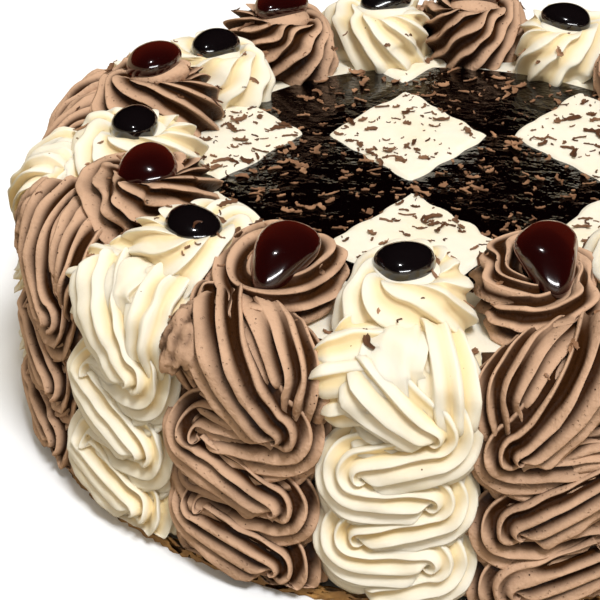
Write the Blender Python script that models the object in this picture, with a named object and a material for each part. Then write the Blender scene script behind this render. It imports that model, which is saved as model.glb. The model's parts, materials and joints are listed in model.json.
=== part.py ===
"""Black forest cake: a round celebration cake of eighteen portions.

A golden sponge base carries an uncut cake core with a white cream top. Each
portion has a column of cream piped up the side in a zigzag, a piped rosette
on the shoulder and a glazed cherry in the rosette. White and chocolate cream
take turns round the cake. Cherry jelly lies on the top in a net of diamonds,
and chocolate shavings are strewn over it.

Metres, +Z up. The origin is the middle of the cake's foot.
"""
import math
import random

import bmesh
import bpy
from mathutils import Matrix, Vector

# The cake as a whole
PORTIONS = 18
SECTOR = math.tau / PORTIONS
FRONT_ANGLE = math.radians(-94.4)
CAKE_RADIUS = 0.140
CORE_RADIUS = 0.1185
BASE_RADIUS = 0.1325
BASE_THICKNESS = 0.003
TOP_HEIGHT = 0.0743
JOINT_GAP = 0.0003

# A column of cream piped up the side
COLUMN_PASSES = 9
COLUMN_SPANS = 5
RIDGES_PER_PASS = 2
SHOULDER_HEIGHT = 0.0735
COLUMN_TOP = 0.0868
COLUMN_TOP_RADIUS = 0.1225
COLUMN_BACK_HEIGHT = 0.0830
PASS_SLANT = 0.0037
PASS_DROOP = 0.0016
PASS_CREASE = 0.0046
RIDGE_CREASE = 0.0026
COLUMN_EDGE_DROP = 0.0085
COLUMN_GAP = 0.0005

# A piped rosette, in the cake's radial and sideways directions
ROSETTE_RADIUS = 0.0974
ROSETTE_HALF_LENGTH = 0.0208
ROSETTE_INNER_SQUARENESS = 2.3
ROSETTE_OUTER_SQUARENESS = 4.5
ROSETTE_RIDGES = 8
ROSETTE_RIDGE_DEPTH = 0.11
ROSETTE_TWIST = math.radians(17)
ROSETTE_BULGE_HEIGHT = 0.0060
ROSETTE_NECK_HEIGHT = 0.0122

# A glazed cherry: half sizes sideways, towards the rim and upwards
BLACK_CHERRY = Vector((0.0088, 0.0076, 0.0064))
RED_CHERRY = Vector((0.0086, 0.0090, 0.0066))
BLACK_CHERRY_TILT = math.radians(4)
RED_CHERRY_TILT = math.radians(14)
CHERRY_SEGMENTS = 10
CHERRY_RINGS = 4
CHERRY_RADIUS = 0.1000
CHERRY_HEIGHT = 0.0915
CHERRY_SCATTER = 0.0012

# Cherries that sit off the regular place: slot, shift out, shift sideways, shift up
SHIFTED_CHERRIES = {
    0: (-0.0005, -0.0021, 0.0003),
    1: (0.0026, -0.0012, 0.0010),
    2: (0.0050, 0.0028, -0.0020),
    3: (-0.0015, -0.0009, 0.0000),
    4: (-0.0017, 0.0030, 0.0000),
    5: (0.0013, -0.0034, 0.0050),
    6: (-0.0025, -0.0004, 0.0000),
    7: (0.0040, 0.0005, 0.0045),
    8: (-0.0004, -0.0034, 0.0025),
    9: (0.0040, 0.0000, 0.0040),
    10: (-0.0019, 0.0001, 0.0000),
    17: (-0.0042, 0.0032, 0.0030),
}

# The net of jelly diamonds on the top
DIAMOND_WIDTH = 0.0607
DIAMOND_DEPTH = 0.0792
DIAMOND_TURN = math.radians(3.6)
DIAMOND_MIDDLE = Vector((-0.0129, 0.0231, 0.0))
WHITE_WIDTH_SHARE = 0.85
WHITE_DEPTH_SHARE = 0.89
JELLY_RADIUS = 0.0755
JELLY_THICKNESS = 0.0018
JELLY_SLOPE = 0.0008
DIAMOND_CORNER = 0.0035

# Chocolate shavings
SHAVING_THICKNESS = 0.0009
SHAVING_SINK = 0.0003
SHAVINGS_ON_JELLY = 13
SHAVINGS_ON_CREAM = 12
SHAVING_ROOM = 0.0045

# Colours of the pieces: red, green, blue, roughness
WHITE_CREAM = (0.82, 0.74, 0.55, 0.45)
CHOCOLATE_CREAM = (0.30, 0.18, 0.12, 0.5)
SPONGE = (0.55, 0.32, 0.12, 0.9)
JELLY = (0.012, 0.003, 0.003, 0.08)
BLACK_FRUIT = (0.008, 0.004, 0.005, 0.1)
RED_FRUIT = (0.10, 0.008, 0.006, 0.1)


def clear_scene():
    """Remove what the start-up file holds."""
    for item in list(bpy.data.objects):
        bpy.data.objects.remove(item)


def principled(name, look):
    """A plain material from a colour and a roughness."""
    material = bpy.data.materials.new(name)
    material.use_nodes = True
    shader = material.node_tree.nodes["Principled BSDF"]
    red, green, blue, roughness = look
    shader.inputs["Base Color"].default_value = (red, green, blue, 1.0)
    shader.inputs["Roughness"].default_value = roughness
    shader.inputs["Metallic"].default_value = 0.0
    return material


def place(bm, name, look, smooth=True):
    """Turn a bmesh into a named object with its own material."""
    bmesh.ops.recalc_face_normals(bm, faces=bm.faces[:])
    mesh = bpy.data.meshes.new(name)
    bm.to_mesh(mesh)
    bm.free()
    if smooth:
        mesh.shade_smooth()
        mesh.set_sharp_from_angle(angle=math.radians(50))
    mesh.materials.append(principled(name, look))
    item = bpy.data.objects.new(name, mesh)
    bpy.context.scene.collection.objects.link(item)
    return item


def new_points(result):
    """The points among what an extrusion made."""
    return [part for part in result["geom"] if isinstance(part, bmesh.types.BMVert)]


def new_edges(result):
    """The edges among what an extrusion made."""
    return [part for part in result["geom"] if isinstance(part, bmesh.types.BMEdge)]


def polar(radius, angle, height):
    """A point from its distance to the cake's axis, its angle and its height."""
    return Vector((radius * math.cos(angle), radius * math.sin(angle), height))


def slot_angle(slot):
    """Where a portion stands: portions are counted clockwise from the front."""
    return FRONT_ANGLE - slot * SECTOR


def is_white(slot):
    """White and chocolate cream take turns."""
    return slot % 2 == 0


def base_sponge():
    """The crumbly golden base, which shows at the foot of the columns."""
    bm = bmesh.new()
    bottom = bmesh.ops.create_circle(
        bm, cap_ends=True, radius=BASE_RADIUS, segments=60)["verts"]
    crumbs = random.Random(3)
    for point in bottom:
        point.co *= 1.0 + crumbs.uniform(-0.008, 0.010)
    raised = bmesh.ops.extrude_face_region(bm, geom=bm.faces[:])
    for point in new_points(raised):
        point.co *= 1.0 + crumbs.uniform(-0.006, 0.004)
        point.co.z = BASE_THICKNESS
    return place(bm, "base_sponge", SPONGE, smooth=False)


def cake_core():
    """The uncut cake under its white cream top, as a drum."""
    bm = bmesh.new()
    bmesh.ops.create_circle(bm, cap_ends=True, radius=CORE_RADIUS,
                            segments=PORTIONS * COLUMN_SPANS,
                            matrix=Matrix.Rotation(FRONT_ANGLE + SECTOR / 2, 4, "Z"))
    foot = BASE_THICKNESS + JOINT_GAP
    bmesh.ops.translate(bm, vec=(0, 0, foot), verts=bm.verts[:])
    raised = bmesh.ops.extrude_face_region(bm, geom=bm.faces[:])
    bmesh.ops.translate(bm, vec=(0, 0, TOP_HEIGHT - foot), verts=new_points(raised))
    return place(bm, "cake_core", WHITE_CREAM)


def wall_point(along, across):
    """Radius, height and outward slope of the smooth column, before its folds.

    along runs up the side from the foot and over the shoulder, in metres.
    """
    foot = BASE_THICKNESS + JOINT_GAP
    straight = SHOULDER_HEIGHT - foot
    edge_drop = COLUMN_EDGE_DROP * abs(across) ** 2.4
    if along <= straight:
        lean = 0.0015 * ((along - 0.04) / 0.04) ** 2
        return CAKE_RADIUS - lean - edge_drop, foot + along, 1.0, 0.0
    reach = CAKE_RADIUS - 0.0015 - edge_drop - COLUMN_TOP_RADIUS
    rise = COLUMN_TOP - SHOULDER_HEIGHT - 0.35 * edge_drop
    turn = (along - straight) / shoulder_length() * math.pi / 2
    slope_out, slope_up = rise * math.cos(turn), reach * math.sin(turn)
    size = math.hypot(slope_out, slope_up)
    return (COLUMN_TOP_RADIUS + reach * math.cos(turn),
            SHOULDER_HEIGHT + rise * math.sin(turn),
            slope_out / size, slope_up / size)


def shoulder_length():
    """Length of the way over the shoulder, a quarter of an ellipse."""
    reach = CAKE_RADIUS - COLUMN_TOP_RADIUS
    rise = COLUMN_TOP - SHOULDER_HEIGHT
    return math.pi / 2 * math.sqrt((reach * reach + rise * rise) / 2)


def fold_point(row, across, slant, hand):
    """A point on the folds: radius and height at a row of crests or creases."""
    rows_per_pass = 2 * RIDGES_PER_PASS
    last_row = COLUMN_PASSES * rows_per_pass
    total = SHOULDER_HEIGHT - BASE_THICKNESS - JOINT_GAP + shoulder_length()
    pass_height = total / COLUMN_PASSES
    fold, step = divmod(row, rows_per_pass)
    share = step / rows_per_pass
    lean = hand * (-1) ** fold * slant * across
    inside = 0.0 if row in (0, last_row) else 1.0
    droop = PASS_DROOP * across * across * math.sin(math.pi * row / last_row)
    along = pass_height * row / rows_per_pass + inside * (lean * (1 - 2 * share) - droop)
    thickness = 1 - 2 * lean / pass_height
    radius, height, out, up = wall_point(along, across)
    depth = 0.0
    if step == 0:
        depth = PASS_CREASE * (0.75 + 0.25 * abs(across))
    elif step % 2 == 0:
        depth = RIDGE_CREASE * min(1.0, max(0.4, thickness))
    if row in (0, last_row):
        depth *= 0.4
    return radius - out * depth, height - up * depth


def piped_column(slot):
    """Cream piped up the side in a zigzag, with its ridges folded at each turn."""
    rows = COLUMN_PASSES * RIDGES_PER_PASS * 2
    foot = BASE_THICKNESS + JOINT_GAP
    chance = random.Random(100 + slot)
    slant = PASS_SLANT * chance.uniform(0.9, 1.1)
    hand = 1 if is_white(slot) else -1
    half_sector = SECTOR / 2 - COLUMN_GAP / (2 * CORE_RADIUS)
    bm = bmesh.new()
    bmesh.ops.create_grid(bm, x_segments=COLUMN_SPANS, y_segments=rows, size=1.0)
    foot_edges = [e for e in bm.edges if all(v.co.y < -0.999 for v in e.verts)]
    top_edges = [e for e in bm.edges if all(v.co.y > 0.999 for v in e.verts)]
    for point in bm.verts:
        across = point.co.x
        row = round((point.co.y + 1) / 2 * rows)
        radius, height = fold_point(row, across, slant, hand)
        point.co = polar(radius, slot_angle(slot) + across * half_sector, height)
    rims = []
    for edges, height in ((foot_edges, foot), (top_edges, COLUMN_BACK_HEIGHT)):
        back = bmesh.ops.extrude_edge_only(bm, edges=edges)
        for point in new_points(back):
            angle = math.atan2(point.co.y, point.co.x)
            point.co = polar(CORE_RADIUS + JOINT_GAP, angle, height)
        rims += new_edges(back)
    bmesh.ops.bridge_loops(bm, edges=rims)
    bmesh.ops.holes_fill(bm, edges=[e for e in bm.edges if e.is_boundary], sides=0)
    look = WHITE_CREAM if is_white(slot) else CHOCOLATE_CREAM
    return place(bm, f"column_{slot + 1:02d}", look)


def cherry_frame(slot):
    """Place, tilt and half sizes of a portion's cherry."""
    chance = random.Random(200 + slot)
    scatter = [chance.uniform(-CHERRY_SCATTER, CHERRY_SCATTER) for _ in range(3)]
    out, sideways, up = SHIFTED_CHERRIES.get(slot, scatter)
    half_sizes = BLACK_CHERRY if is_white(slot) else RED_CHERRY
    tilt = BLACK_CHERRY_TILT if is_white(slot) else RED_CHERRY_TILT
    middle = Vector((CHERRY_RADIUS + out, sideways, CHERRY_HEIGHT + up))
    frame = (Matrix.Rotation(slot_angle(slot), 4, "Z") @ Matrix.Translation(middle)
             @ Matrix.Rotation(tilt, 4, "Y"))
    return frame, half_sizes


def glazed_cherry(slot):
    """A glazed cherry, a little flatter than round."""
    frame, half = cherry_frame(slot)
    bm = bmesh.new()
    bmesh.ops.create_uvsphere(bm, u_segments=CHERRY_SEGMENTS, v_segments=CHERRY_RINGS,
                              radius=1.0)
    bmesh.ops.scale(bm, vec=(half.y, half.x, half.z), verts=bm.verts[:])
    bmesh.ops.transform(bm, matrix=frame, verts=bm.verts[:])
    look = BLACK_FRUIT if is_white(slot) else RED_FRUIT
    return place(bm, f"cherry_{slot + 1:02d}", look)


def rosette_outline(direction, share):
    """A rosette's outline, squeezed between its neighbours, as radius and sideways."""
    half_width = ROSETTE_RADIUS * math.tan(SECTOR / 2) - COLUMN_GAP / 2
    cosine, sine = math.cos(direction), math.sin(direction)
    power = 2 / (ROSETTE_OUTER_SQUARENESS if cosine > 0 else ROSETTE_INNER_SQUARENESS)
    out = math.copysign(abs(cosine) ** power, cosine) * ROSETTE_HALF_LENGTH * share
    side = math.copysign(abs(sine) ** power, sine) * half_width * share
    return ROSETTE_RADIUS + out, side * (ROSETTE_RADIUS + out) / ROSETTE_RADIUS


def piped_rosette(slot):
    """A swirl of ridged cream with a hollow where the cherry sits."""
    frame, half = cherry_frame(slot)
    turned = Matrix.Rotation(slot_angle(slot), 4, "Z")
    floor = TOP_HEIGHT + JOINT_GAP
    shift = turned.inverted() @ frame.translation - Vector((CHERRY_RADIUS, 0, CHERRY_HEIGHT))
    points = 2 * ROSETTE_RIDGES
    rings = [(0.93, 0.0, 0.5), (1.0, ROSETTE_BULGE_HEIGHT, 1.0),
             (0.82, ROSETTE_NECK_HEIGHT + 0.6 * shift.z, 1.0)]
    bm = bmesh.new()
    loop = bmesh.ops.create_circle(bm, cap_ends=True, radius=1.0, segments=points)["verts"]
    order = {vert: index for index, vert in enumerate(loop)}
    edges = bm.edges[:]
    for level, (share, height, ridge) in enumerate(rings):
        if level:
            edges, order = extrude_loop(bm, edges, order)
        for vert, index in order.items():
            direction = math.tau * index / points + ROSETTE_TWIST * level
            crease = ROSETTE_RIDGE_DEPTH * ridge * (index % 2)
            radius, side = rosette_outline(direction, share - crease)
            if level == 2:
                radius, side = radius + 0.8 * shift.x, side + 0.8 * shift.y
            vert.co = turned @ Vector((radius, side, floor + height))
    hollow = [(1.10, -0.30), (0.76, -1.09)]
    for level, (share, height) in enumerate(hollow):
        edges, order = extrude_loop(bm, edges, order)
        for vert, index in order.items():
            direction = math.tau * index / points + ROSETTE_TWIST * (3 - level)
            vert.co = frame @ Vector((share * half.y * math.cos(direction),
                                      share * half.x * math.sin(direction),
                                      height * half.z))
    bmesh.ops.contextual_create(bm, geom=edges)
    look = WHITE_CREAM if is_white(slot) else CHOCOLATE_CREAM
    return place(bm, f"rosette_{slot + 1:02d}", look)


def extrude_loop(bm, edges, order):
    """Extrude a closed loop of edges, keeping the number of each of its points."""
    result = bmesh.ops.extrude_edge_only(bm, edges=edges)
    fresh = set(new_points(result))
    numbers = {}
    for vert in fresh:
        source = next(e.other_vert(vert) for e in vert.link_edges
                      if e.other_vert(vert) in order)
        numbers[vert] = order[source]
    return new_edges(result), numbers


def diamond_place(column, row):
    """The middle of a white diamond on the top."""
    shift = Vector((column * DIAMOND_WIDTH, row * DIAMOND_DEPTH, 0.0))
    return DIAMOND_MIDDLE + Matrix.Rotation(DIAMOND_TURN, 3, "Z") @ shift


def white_diamonds():
    """Cutters that leave the white diamonds free, wider upwards, so the jelly slopes."""
    bm = bmesh.new()
    below, above = TOP_HEIGHT, TOP_HEIGHT + 2 * JELLY_THICKNESS
    spread = 1.0 + 4 * JELLY_SLOPE / DIAMOND_WIDTH
    for column in (-1, 0, 1):
        for row in (-1, 0, 1):
            middle = diamond_place(column, row)
            plan = (Matrix.Translation(middle + Vector((0, 0, below)))
                    @ Matrix.Rotation(DIAMOND_TURN, 4, "Z")
                    @ Matrix.Diagonal((DIAMOND_WIDTH * WHITE_WIDTH_SHARE,
                                       DIAMOND_DEPTH * WHITE_DEPTH_SHARE, 1.0, 1.0)))
            corners = bmesh.ops.create_circle(bm, cap_ends=True, radius=0.5, segments=4,
                                              matrix=plan)["verts"]
            bmesh.ops.bevel(bm, geom=corners, offset=DIAMOND_CORNER, segments=2,
                            profile=0.5, affect="VERTICES", material=-1)
            flat = [face for face in bm.faces if len(face.verts) > 4
                    and (face.calc_center_median() - middle).xy.length < DIAMOND_CORNER
                    and abs(face.normal.z) > 0.9]
            raised = new_points(bmesh.ops.extrude_face_region(bm, geom=flat))
            bmesh.ops.translate(bm, vec=(0, 0, above - below), verts=raised)
            bmesh.ops.scale(bm, vec=(spread, spread, 1.0), verts=raised,
                            space=Matrix.Translation(-middle))
    return bm


def hidden_cutter(bm, name):
    """An object that only cuts another one."""
    cutter = place(bm, name, JELLY, smooth=False)
    cutter.hide_render = True
    cutter.display_type = "WIRE"
    return cutter


def apply_modifiers(item):
    """Keep an object's shape as its modifiers make it."""
    graph = bpy.context.evaluated_depsgraph_get()
    mesh = bpy.data.meshes.new_from_object(item.evaluated_get(graph))
    item.modifiers.clear()
    item.data = mesh


def cherry_jelly():
    """The net of glossy cherry jelly, with the white diamonds left open."""
    floor = TOP_HEIGHT + JOINT_GAP
    bm = bmesh.new()
    bmesh.ops.create_circle(bm, cap_ends=True, radius=JELLY_RADIUS, segments=54)
    bmesh.ops.translate(bm, vec=(0, 0, floor), verts=bm.verts[:])
    raised = new_points(bmesh.ops.extrude_face_region(bm, geom=bm.faces[:]))
    bmesh.ops.translate(bm, vec=(0, 0, JELLY_THICKNESS), verts=raised)
    upper_share = 1 - JELLY_SLOPE / JELLY_RADIUS
    bmesh.ops.scale(bm, vec=(upper_share, upper_share, 1.0), verts=raised)
    jelly = place(bm, "cherry_jelly", JELLY, smooth=False)
    cutter = hidden_cutter(white_diamonds(), "white_diamond_cutter")
    cut = jelly.modifiers.new("white diamonds", "BOOLEAN")
    cut.operation = "DIFFERENCE"
    cut.object = cutter
    apply_modifiers(jelly)
    bpy.data.objects.remove(cutter)
    keep_largest(jelly)
    return jelly


def keep_largest(item):
    """Drop the loose scraps that a cut leaves."""
    bm = bmesh.new()
    bm.from_mesh(item.data)
    for scrap in islands(bm)[1:]:
        bmesh.ops.delete(bm, geom=list(scrap), context="VERTS")
    bm.to_mesh(item.data)
    bm.free()


def islands(bm):
    """The separate bodies of a bmesh, each as a set of points, largest first."""
    left = set(bm.verts)
    found = []
    while left:
        reached = {left.pop()}
        front = list(reached)
        while front:
            near = {e.other_vert(v) for v in front for e in v.link_edges} - reached
            reached |= near
            front = list(near)
        left -= reached
        found.append(reached)
    return sorted(found, key=len, reverse=True)


def shaving(bm, chance, middle, surface):
    """A curved shaving of chocolate, lying on a level surface."""
    length = chance.uniform(0.0045, 0.0075)
    width = chance.uniform(0.0016, 0.0026)
    bend = chance.uniform(0.6, 1.5)
    strip = bmesh.ops.create_grid(bm, x_segments=2, y_segments=1, size=0.5)["verts"]
    for point in strip:
        arc = point.co.x * bend
        reach = length / bend - point.co.y * width
        point.co = Vector((reach * math.sin(arc), reach * math.cos(arc) - length / bend, 0))
    faces = {face for point in strip for face in point.link_faces}
    raised = bmesh.ops.extrude_face_region(bm, geom=list(faces))
    bmesh.ops.translate(bm, vec=(0, 0, SHAVING_THICKNESS + SHAVING_SINK),
                        verts=new_points(raised))
    tilt = Matrix.Rotation(chance.uniform(-0.06, 0.06), 4, "X")
    spin = Matrix.Rotation(chance.uniform(0, math.tau), 4, "Z")
    lay = Matrix.Translation(middle + Vector((0, 0, surface - SHAVING_SINK))) @ spin @ tilt
    bmesh.ops.transform(bm, matrix=lay, verts=strip + new_points(raised))


def inside_white(place_on_top):
    """How far a point is inside the nearest white diamond: 0 in the middle, 1 at its edge."""
    turned = Matrix.Rotation(-DIAMOND_TURN, 3, "Z") @ (place_on_top - DIAMOND_MIDDLE)
    column = round(turned.x / DIAMOND_WIDTH)
    row = round(turned.y / DIAMOND_DEPTH)
    across = abs(turned.x - column * DIAMOND_WIDTH) / (DIAMOND_WIDTH / 2)
    deep = abs(turned.y - row * DIAMOND_DEPTH) / (DIAMOND_DEPTH / 2)
    return across + deep


def strew(item, count, surface, wanted, seed):
    """Fuse shavings to a piece, at seeded places where the wanted test allows them."""
    chance = random.Random(seed)
    scatter = bpy.data.collections.new(f"shavings on {item.name}")
    bpy.context.scene.collection.children.link(scatter)
    taken = []
    while len(taken) < count:
        spot = polar(0.066 * math.sqrt(chance.random()), chance.uniform(0, math.tau), 0.0)
        near = any((spot - other).length < 2 * SHAVING_ROOM for other in taken)
        if near or not wanted(inside_white(spot)):
            continue
        taken.append(spot)
        bm = bmesh.new()
        shaving(bm, chance, spot, surface)
        flake = place(bm, f"shaving {len(taken)}", CHOCOLATE_CREAM, smooth=False)
        bpy.context.scene.collection.objects.unlink(flake)
        scatter.objects.link(flake)
    fuse = item.modifiers.new("shavings", "BOOLEAN")
    fuse.operation = "UNION"
    fuse.operand_type = "COLLECTION"
    fuse.collection = scatter
    apply_modifiers(item)
    for flake in list(scatter.objects):
        bpy.data.objects.remove(flake)
    bpy.data.collections.remove(scatter)


def build():
    """Make every piece of the cake."""
    clear_scene()
    base_sponge()
    core = cake_core()
    strew(core, SHAVINGS_ON_CREAM, TOP_HEIGHT, lambda edge: edge < 0.55, seed=11)
    jelly = cherry_jelly()
    strew(jelly, SHAVINGS_ON_JELLY, TOP_HEIGHT + JOINT_GAP + JELLY_THICKNESS,
          lambda edge: edge > 1.30, seed=12)
    for slot in range(PORTIONS):
        piped_column(slot)
        piped_rosette(slot)
        glazed_cherry(slot)


build()
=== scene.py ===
"""Black forest cake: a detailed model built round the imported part.

Eighteen portions of white and chocolate cream stand round an uncut cake. Each
has a column of cream piped up the side, a rosette and a glazed cherry. Cherry
jelly lies on the white top in a net of diamonds, with chocolate shavings.

Metres, +Z up, the origin in the middle of the cake's foot.
"""
import json
import math
import random

import bmesh
import bpy
import numpy as np
from bpy.props import FloatProperty, FloatVectorProperty, IntProperty, PointerProperty
from mathutils import Matrix, Vector
from mathutils.bvhtree import BVHTree

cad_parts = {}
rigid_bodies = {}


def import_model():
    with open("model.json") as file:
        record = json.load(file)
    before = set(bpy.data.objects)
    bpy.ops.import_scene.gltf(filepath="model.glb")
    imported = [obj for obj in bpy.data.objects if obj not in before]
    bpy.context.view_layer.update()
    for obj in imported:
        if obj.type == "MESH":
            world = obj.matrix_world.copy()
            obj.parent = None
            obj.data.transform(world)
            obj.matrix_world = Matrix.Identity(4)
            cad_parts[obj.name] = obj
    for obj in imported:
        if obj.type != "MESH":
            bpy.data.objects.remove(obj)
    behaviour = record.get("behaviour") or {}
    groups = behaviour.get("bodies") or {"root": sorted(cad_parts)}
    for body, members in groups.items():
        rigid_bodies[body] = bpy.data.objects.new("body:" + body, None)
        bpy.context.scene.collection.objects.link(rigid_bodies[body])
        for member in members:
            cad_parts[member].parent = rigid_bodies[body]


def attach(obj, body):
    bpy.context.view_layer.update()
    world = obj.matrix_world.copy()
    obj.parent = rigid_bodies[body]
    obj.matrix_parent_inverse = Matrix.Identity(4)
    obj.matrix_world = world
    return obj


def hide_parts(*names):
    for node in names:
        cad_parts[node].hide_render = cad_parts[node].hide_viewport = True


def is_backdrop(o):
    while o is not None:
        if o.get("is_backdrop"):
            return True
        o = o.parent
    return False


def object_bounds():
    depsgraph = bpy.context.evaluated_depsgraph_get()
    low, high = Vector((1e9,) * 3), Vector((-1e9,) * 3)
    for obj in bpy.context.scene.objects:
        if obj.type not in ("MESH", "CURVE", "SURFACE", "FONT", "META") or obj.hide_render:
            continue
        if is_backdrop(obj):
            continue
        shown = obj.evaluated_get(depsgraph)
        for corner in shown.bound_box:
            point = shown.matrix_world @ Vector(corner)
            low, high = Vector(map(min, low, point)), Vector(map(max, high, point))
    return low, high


bl_info = {
    "name": "Black Forest Cake",
    "version": (1, 0, 0),
    "blender": (4, 5, 0),
    "location": "3D View > Sidebar > Cake",
    "description": "Builds a black forest cake with piped cream, cherries, jelly and shavings",
    "category": "Add Mesh",
}

# The portions: counted clockwise from the front one
PORTIONS = 18
SECTOR = math.tau / PORTIONS
FRONT_ANGLE = math.radians(-94.4)
CAKE_RADIUS = 0.140
TOP_HEIGHT = 0.0743
FOOT_HEIGHT = 0.0036

# The surface that the middle of a piped strand follows up the side and over the shoulder
WALL_RADIUS = 0.1308
WALL_HEIGHT = 0.0640
SHOULDER_REACH = 0.0138
SHOULDER_RISE = 0.0142
SHOULDER_LENGTH = math.pi / 2 * 0.0140

# No cream reaches past this radius
CREAM_LIMIT = 0.1393

# Where the strand of a column turns, from the top down: sideways, along the wall, in mm.
# The first and last places are its ends.
FRONT_TURNS = [(-15, 77), (13.5, 58), (-12.5, 44), (13.5, 37), (-13, 23.5), (13.5, 17),
               (-12, 6)]
WHITE_TURNS = [(-16, 84), (15, 54), (-14, 46), (15, 30), (-14, 23), (15, 9), (-8, 4)]
BROWN_TURNS = [(-17, 87), (17, 52), (-14, 45), (16, 28), (-14, 21), (16, 8), (-8, 3)]

# Shorter strands over the top of a column: places, width, thickness, ridges, how far out
WHITE_TOPS = [
    ([(2, 95), (1, 84), (-3, 74), (3, 56)], 1.30, 0.85, 14, 0.0004),
    ([(0, 97), (10, 85), (15, 71), (17, 50)], 0.82, 0.78, 9, 0.0008),
    ([(3, 88), (-11, 88), (-25, 83)], 0.44, 0.62, 5, 0.0010),
    ([(0, 81), (-13, 81), (-29, 76)], 0.44, 0.62, 5, 0.0010),
    ([(0, 73), (-13, 73), (-29, 69)], 0.43, 0.62, 5, 0.0016),
    ([(2, 65), (-11, 65), (-25, 61)], 0.40, 0.60, 5, 0.0016),
]
BROWN_TOPS = [
    ([(-14, 99), (-4, 88), (10, 80), (21, 69), (17, 48)], 0.85, 0.75, 13, -0.0006),
    ([(-20, 96), (-18, 84), (-21, 64), (-15, 50)], 0.62, 0.70, 9, -0.0026),
    ([(-6, 66), (-10, 79), (-16, 87), (-23, 85), (-22, 77)], 0.40, 0.60, 6, 0.0012),
]

ROSETTE_RADIUS = 0.0985
ROSETTE_HALF_LENGTH = 0.0212
ROSETTE_HALF_WIDTH = 0.0176
SHIFTED_ROSETTES = {1: (0.0010, -0.0058), 17: (0.0, -0.0015)}
WOUND_ROSETTES = (1, 17)
CRUMPLED_ROSETTE = 3
ROPE_REACH = 0.93

BLACK_CHERRY = Vector((0.0088, 0.0076, 0.0064))
RED_CHERRY = Vector((0.0086, 0.0090, 0.0066))
BLACK_CHERRY_TILT = math.radians(4)
RED_CHERRY_TILT = math.radians(14)
CHERRY_RADIUS = 0.1000
CHERRY_HEIGHT = 0.0915
CHERRY_SCATTER = 0.0012
SHIFTED_CHERRIES = {
    0: (-0.0005, -0.0021, 0.0003),
    1: (0.0026, -0.0012, 0.0010),
    2: (0.0050, 0.0028, -0.0020),
    3: (-0.0015, -0.0009, 0.0000),
    4: (-0.0017, 0.0030, 0.0000),
    5: (0.0013, -0.0034, 0.0050),
    6: (-0.0025, -0.0004, 0.0000),
    7: (0.0040, 0.0005, 0.0045),
    8: (-0.0004, -0.0034, 0.0025),
    9: (0.0040, 0.0000, 0.0040),
    10: (-0.0019, 0.0001, 0.0000),
    17: (-0.0042, 0.0032, 0.0030),
}

DIAMOND_WIDTH = 0.0607
DIAMOND_DEPTH = 0.0792
DIAMOND_TURN = math.radians(3.6)
DIAMOND_MIDDLE = Vector((-0.0129, 0.0231, 0.0))
WHITE_WIDTH_SHARE = 0.85
WHITE_DEPTH_SHARE = 0.89
DIAMOND_CORNER = 0.0018
JELLY_HOLE_SHARE = 0.88

# Points of a strand's mesh on each ridge, as shares of the way from crest to crest
RING_PARTS = (0, 0.06, 0.25, 0.5, 0.76, 0.87, 0.95)
COARSE_PARTS = (0, 0.2, 0.5, 0.8)

# Colours that are mixed with those in the settings
DARK_CRUMB = (0.28, 0.13, 0.035)
WHITE_SPECK = (0.16, 0.09, 0.03)
BROWN_SPECK = (0.03, 0.012, 0.006)
DARK_SHAVING = (0.075, 0.026, 0.009)
LIGHT_SHAVING = (0.62, 0.35, 0.20)
FLOOR_SEEN = (0.94, 0.96, 0.99)
FLOOR_REFLECTED = (0.30, 0.24, 0.15)

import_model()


def colour(name, description, default):
    """A colour among the settings."""
    return FloatVectorProperty(name=name, description=description, default=default,
                               subtype="COLOR")


class CakeSizes(bpy.types.PropertyGroup):
    """Sizes of the cake's parts."""

    strand_width: FloatProperty(
        name="Strand Width", description="Half width of the piped strands of a column",
        default=0.0122, unit="LENGTH")
    strand_depth: FloatProperty(
        name="Strand Depth", description="How far a strand stands out from its middle",
        default=0.0082, unit="LENGTH")
    ridge_depth: FloatProperty(
        name="Ridge Depth", description="Depth of the grooves, as a share of the strand",
        default=0.43, subtype="FACTOR")
    ridges: IntProperty(
        name="Ridges", description="Ridges round a strand", default=14)
    strand_tilt: FloatProperty(
        name="Strand Tilt", description="How far the lower edge of a pass stands out",
        default=math.radians(25), subtype="ANGLE")
    jelly_radius: FloatProperty(
        name="Jelly Radius", description="Radius of the jelly on the top",
        default=0.0825, unit="LENGTH")
    jelly_thickness: FloatProperty(
        name="Jelly Thickness", description="Thickness of the jelly",
        default=0.0008, unit="LENGTH")
    shavings: IntProperty(
        name="Shavings", description="Number of shavings on the top", default=980)


class CakeColours(bpy.types.PropertyGroup):
    """Colours of the cake's parts."""

    white_cream: colour("White Cream", "White cream in the light", (0.855, 0.81, 0.69))
    # Painted shade on white cream, in its grooves and under its ridges
    white_painted_shade: colour("White Painted Shade", "White cream deep in a groove", (0.84, 0.68, 0.39))
    brown_cream: colour("Chocolate Cream", "Chocolate cream in the light", (0.59, 0.380, 0.255))
    # Painted shade on chocolate cream, in its grooves and under its ridges
    brown_painted_shade: colour(
        "Chocolate Painted Shade", "Chocolate cream deep in a groove", (0.036, 0.012, 0.003))
    sponge: colour("Sponge", "Golden sponge of the base", (0.52, 0.29, 0.09))
    jelly: colour("Jelly", "Cherry jelly", (0.0012, 0.0003, 0.0004))
    black_cherry: colour("Black Cherry", "Black cherry under its glaze", (0.004, 0.0025, 0.003))
    red_cherry: colour("Red Cherry", "Red cherry under its glaze", (0.014, 0.001, 0.001))
    # Painted glow at a red cherry's rim, standing for light that shines through
    red_painted_glow: colour(
        "Red Cherry Painted Glow", "Red cherry where light shines through", (0.19, 0.018, 0.008))
    shaving: colour("Shavings", "Chocolate shavings", (0.30, 0.125, 0.045))


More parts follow.
